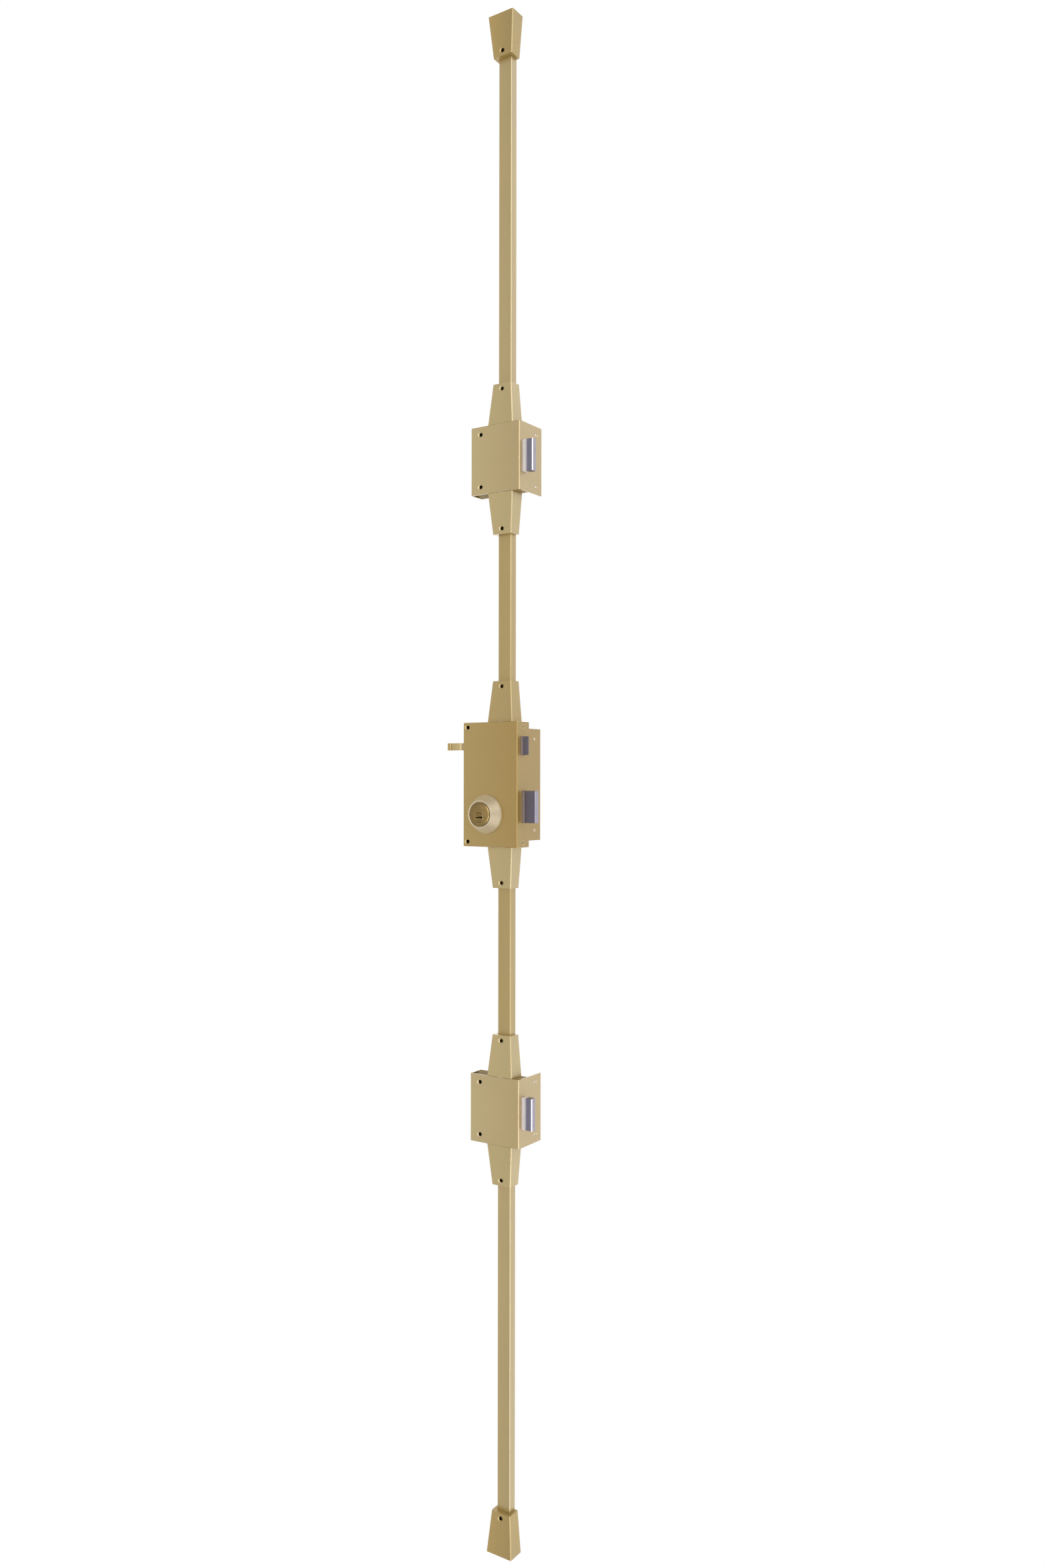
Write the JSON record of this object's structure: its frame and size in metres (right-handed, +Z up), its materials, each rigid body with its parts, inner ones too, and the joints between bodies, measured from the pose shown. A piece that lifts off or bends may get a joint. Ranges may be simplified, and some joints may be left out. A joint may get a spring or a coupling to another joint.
{
  "type": "rim lock",
  "caption": "Tall surface-mounted door lock: centre case with key cylinder, dead bolt and latch, rods up and down the door under channel covers, and a bolt box above and below.",
  "frame": {"origin": "the inside key's axis where it meets the door face (the flat backs of the case and boxes)", "axes": "+X to the door's edge, where the bolts come out; -Y into the room, out of the lock's front; +Z up along the rods"},
  "size_m": [0.1383, 0.0728, 2.05],
  "materials": {
    "bronze_paint": "satin bronze-gold epoxy paint",
    "zinc_steel": "plain zinc-plated steel",
    "bolt_steel": "bright nickel-plated steel",
    "dark_bolt_steel": "satin nickel-plated steel, darker",
    "gear_steel": "oiled machined steel",
    "spring_steel": "bright",
    "cylinder_brass": "satin, aged",
    "guide_nylon": "matt"
  },
  "bodies": {
    "lock_body": {"case_cover": "bronze_paint", "case_base": "bronze_paint", "side_screws": "bronze_paint", "case_pillars": "zinc_steel", "cylinder_rose": "bronze_paint", "cylinder_body": "cylinder_brass", "cylinder_nut": "cylinder_brass", "driver_pins": "cylinder_brass", "pin_springs": "spring_steel", "chamber_caps": "cylinder_brass", "tail_bush": "cylinder_brass", "gear_axle": "zinc_steel", "gear_circlip": "spring_steel", "bolt_guide_post": "zinc_steel", "latch_bracket": "zinc_steel", "latch_spring": "spring_steel", "upper_box_cover": "bronze_paint", "upper_box_base": "bronze_paint", "upper_box_posts": "zinc_steel", "upper_box_pillars": "zinc_steel", "lower_box_cover": "bronze_paint", "lower_box_base": "bronze_paint", "lower_box_posts": "zinc_steel", "lower_box_pillars": "zinc_steel", "top_cap": "bronze_paint", "upper_box_top_cover": "bronze_paint", "upper_box_bottom_cover": "bronze_paint", "case_top_cover": "bronze_paint", "case_bottom_cover": "bronze_paint", "lower_box_top_cover": "bronze_paint", "lower_box_bottom_cover": "bronze_paint", "bottom_cap": "bronze_paint", "cover_saddles": "zinc_steel", "rod_guides": "guide_nylon", "top_channel": "bronze_paint", "upper_channel": "bronze_paint", "lower_channel": "bronze_paint", "bottom_channel": "bronze_paint"},
    "key_plug": {"cylinder_plug": "cylinder_brass", "key_pins": "cylinder_brass", "plug_circlip": "spring_steel", "drive_pinion": "gear_steel"},
    "reduction": {"reduction_gear": "gear_steel"},
    "dead_bolt_slide_body": {"dead_bolt": "dark_bolt_steel"},
    "upper_rods": {"upper_rack": "zinc_steel", "upper_rod": "zinc_steel", "upper_rod_rivets": "zinc_steel", "upper_cam_plate": "zinc_steel"},
    "lower_rods": {"lower_rack": "zinc_steel", "lower_rod": "zinc_steel", "lower_rod_rivets": "zinc_steel", "lower_cam_plate": "zinc_steel"},
    "upper_bolt": {"upper_box_bolt": "bolt_steel", "upper_drive_pin": "zinc_steel"},
    "lower_bolt": {"lower_box_bolt": "bolt_steel", "lower_drive_pin": "zinc_steel"},
    "latch": {"latch_bolt": "dark_bolt_steel", "latch_pull": "bronze_paint", "latch_rivets": "zinc_steel"}
  },
  "joints": [
    {"name": "upper_rod_slide", "type": "slide", "parent": "lock_body", "child": "upper_rods", "axis": [0, 0, -1], "range_m": [0, 0.02093]},
    {"name": "key_turn", "type": "hinge", "parent": "lock_body", "child": "key_plug", "pos_m": [0, 0, 0], "axis": [0, 1, 0], "range_deg": [0, 720.2]},
    {"name": "gear_turn", "type": "hinge", "parent": "lock_body", "child": "reduction", "pos_m": [0.019, 0, 0.0062], "axis": [0, -1, 0], "range_deg": [0, 240.1]},
    {"name": "dead_bolt_slide", "type": "slide", "parent": "lock_body", "child": "dead_bolt_slide_body", "axis": [-1, 0, 0], "range_m": [0, 0.02093]},
    {"name": "lower_rod_slide", "type": "slide", "parent": "lock_body", "child": "lower_rods", "axis": [0, 0, 1], "range_m": [0, 0.02093]},
    {"name": "upper_bolt_slide", "type": "slide", "parent": "lock_body", "child": "upper_bolt", "axis": [-1, 0, 0], "range_m": [0, 0.016]},
    {"name": "lower_bolt_slide", "type": "slide", "parent": "lock_body", "child": "lower_bolt", "axis": [-1, 0, 0], "range_m": [0, 0.016]},
    {"name": "latch_slide", "type": "slide", "parent": "lock_body", "child": "latch", "axis": [-1, 0, 0], "range_m": [0, 0.012], "stiffness_N_per_m": 300, "springref_m": -0.012, "deforming": ["latch_spring"]}
  ],
  "couplings": [
    {"joint": "key_turn", "follows": "upper_rod_slide", "rad_per_m": 600.42},
    {"joint": "gear_turn", "follows": "upper_rod_slide", "rad_per_m": 200.14},
    {"joint": "dead_bolt_slide", "follows": "upper_rod_slide", "ratio": 1},
    {"joint": "lower_rod_slide", "follows": "upper_rod_slide", "ratio": 1},
    {"joint": "upper_bolt_slide", "follows": "upper_rod_slide", "ratio": 0.76448},
    {"joint": "lower_bolt_slide", "follows": "upper_rod_slide", "ratio": 0.76448}
  ]
}
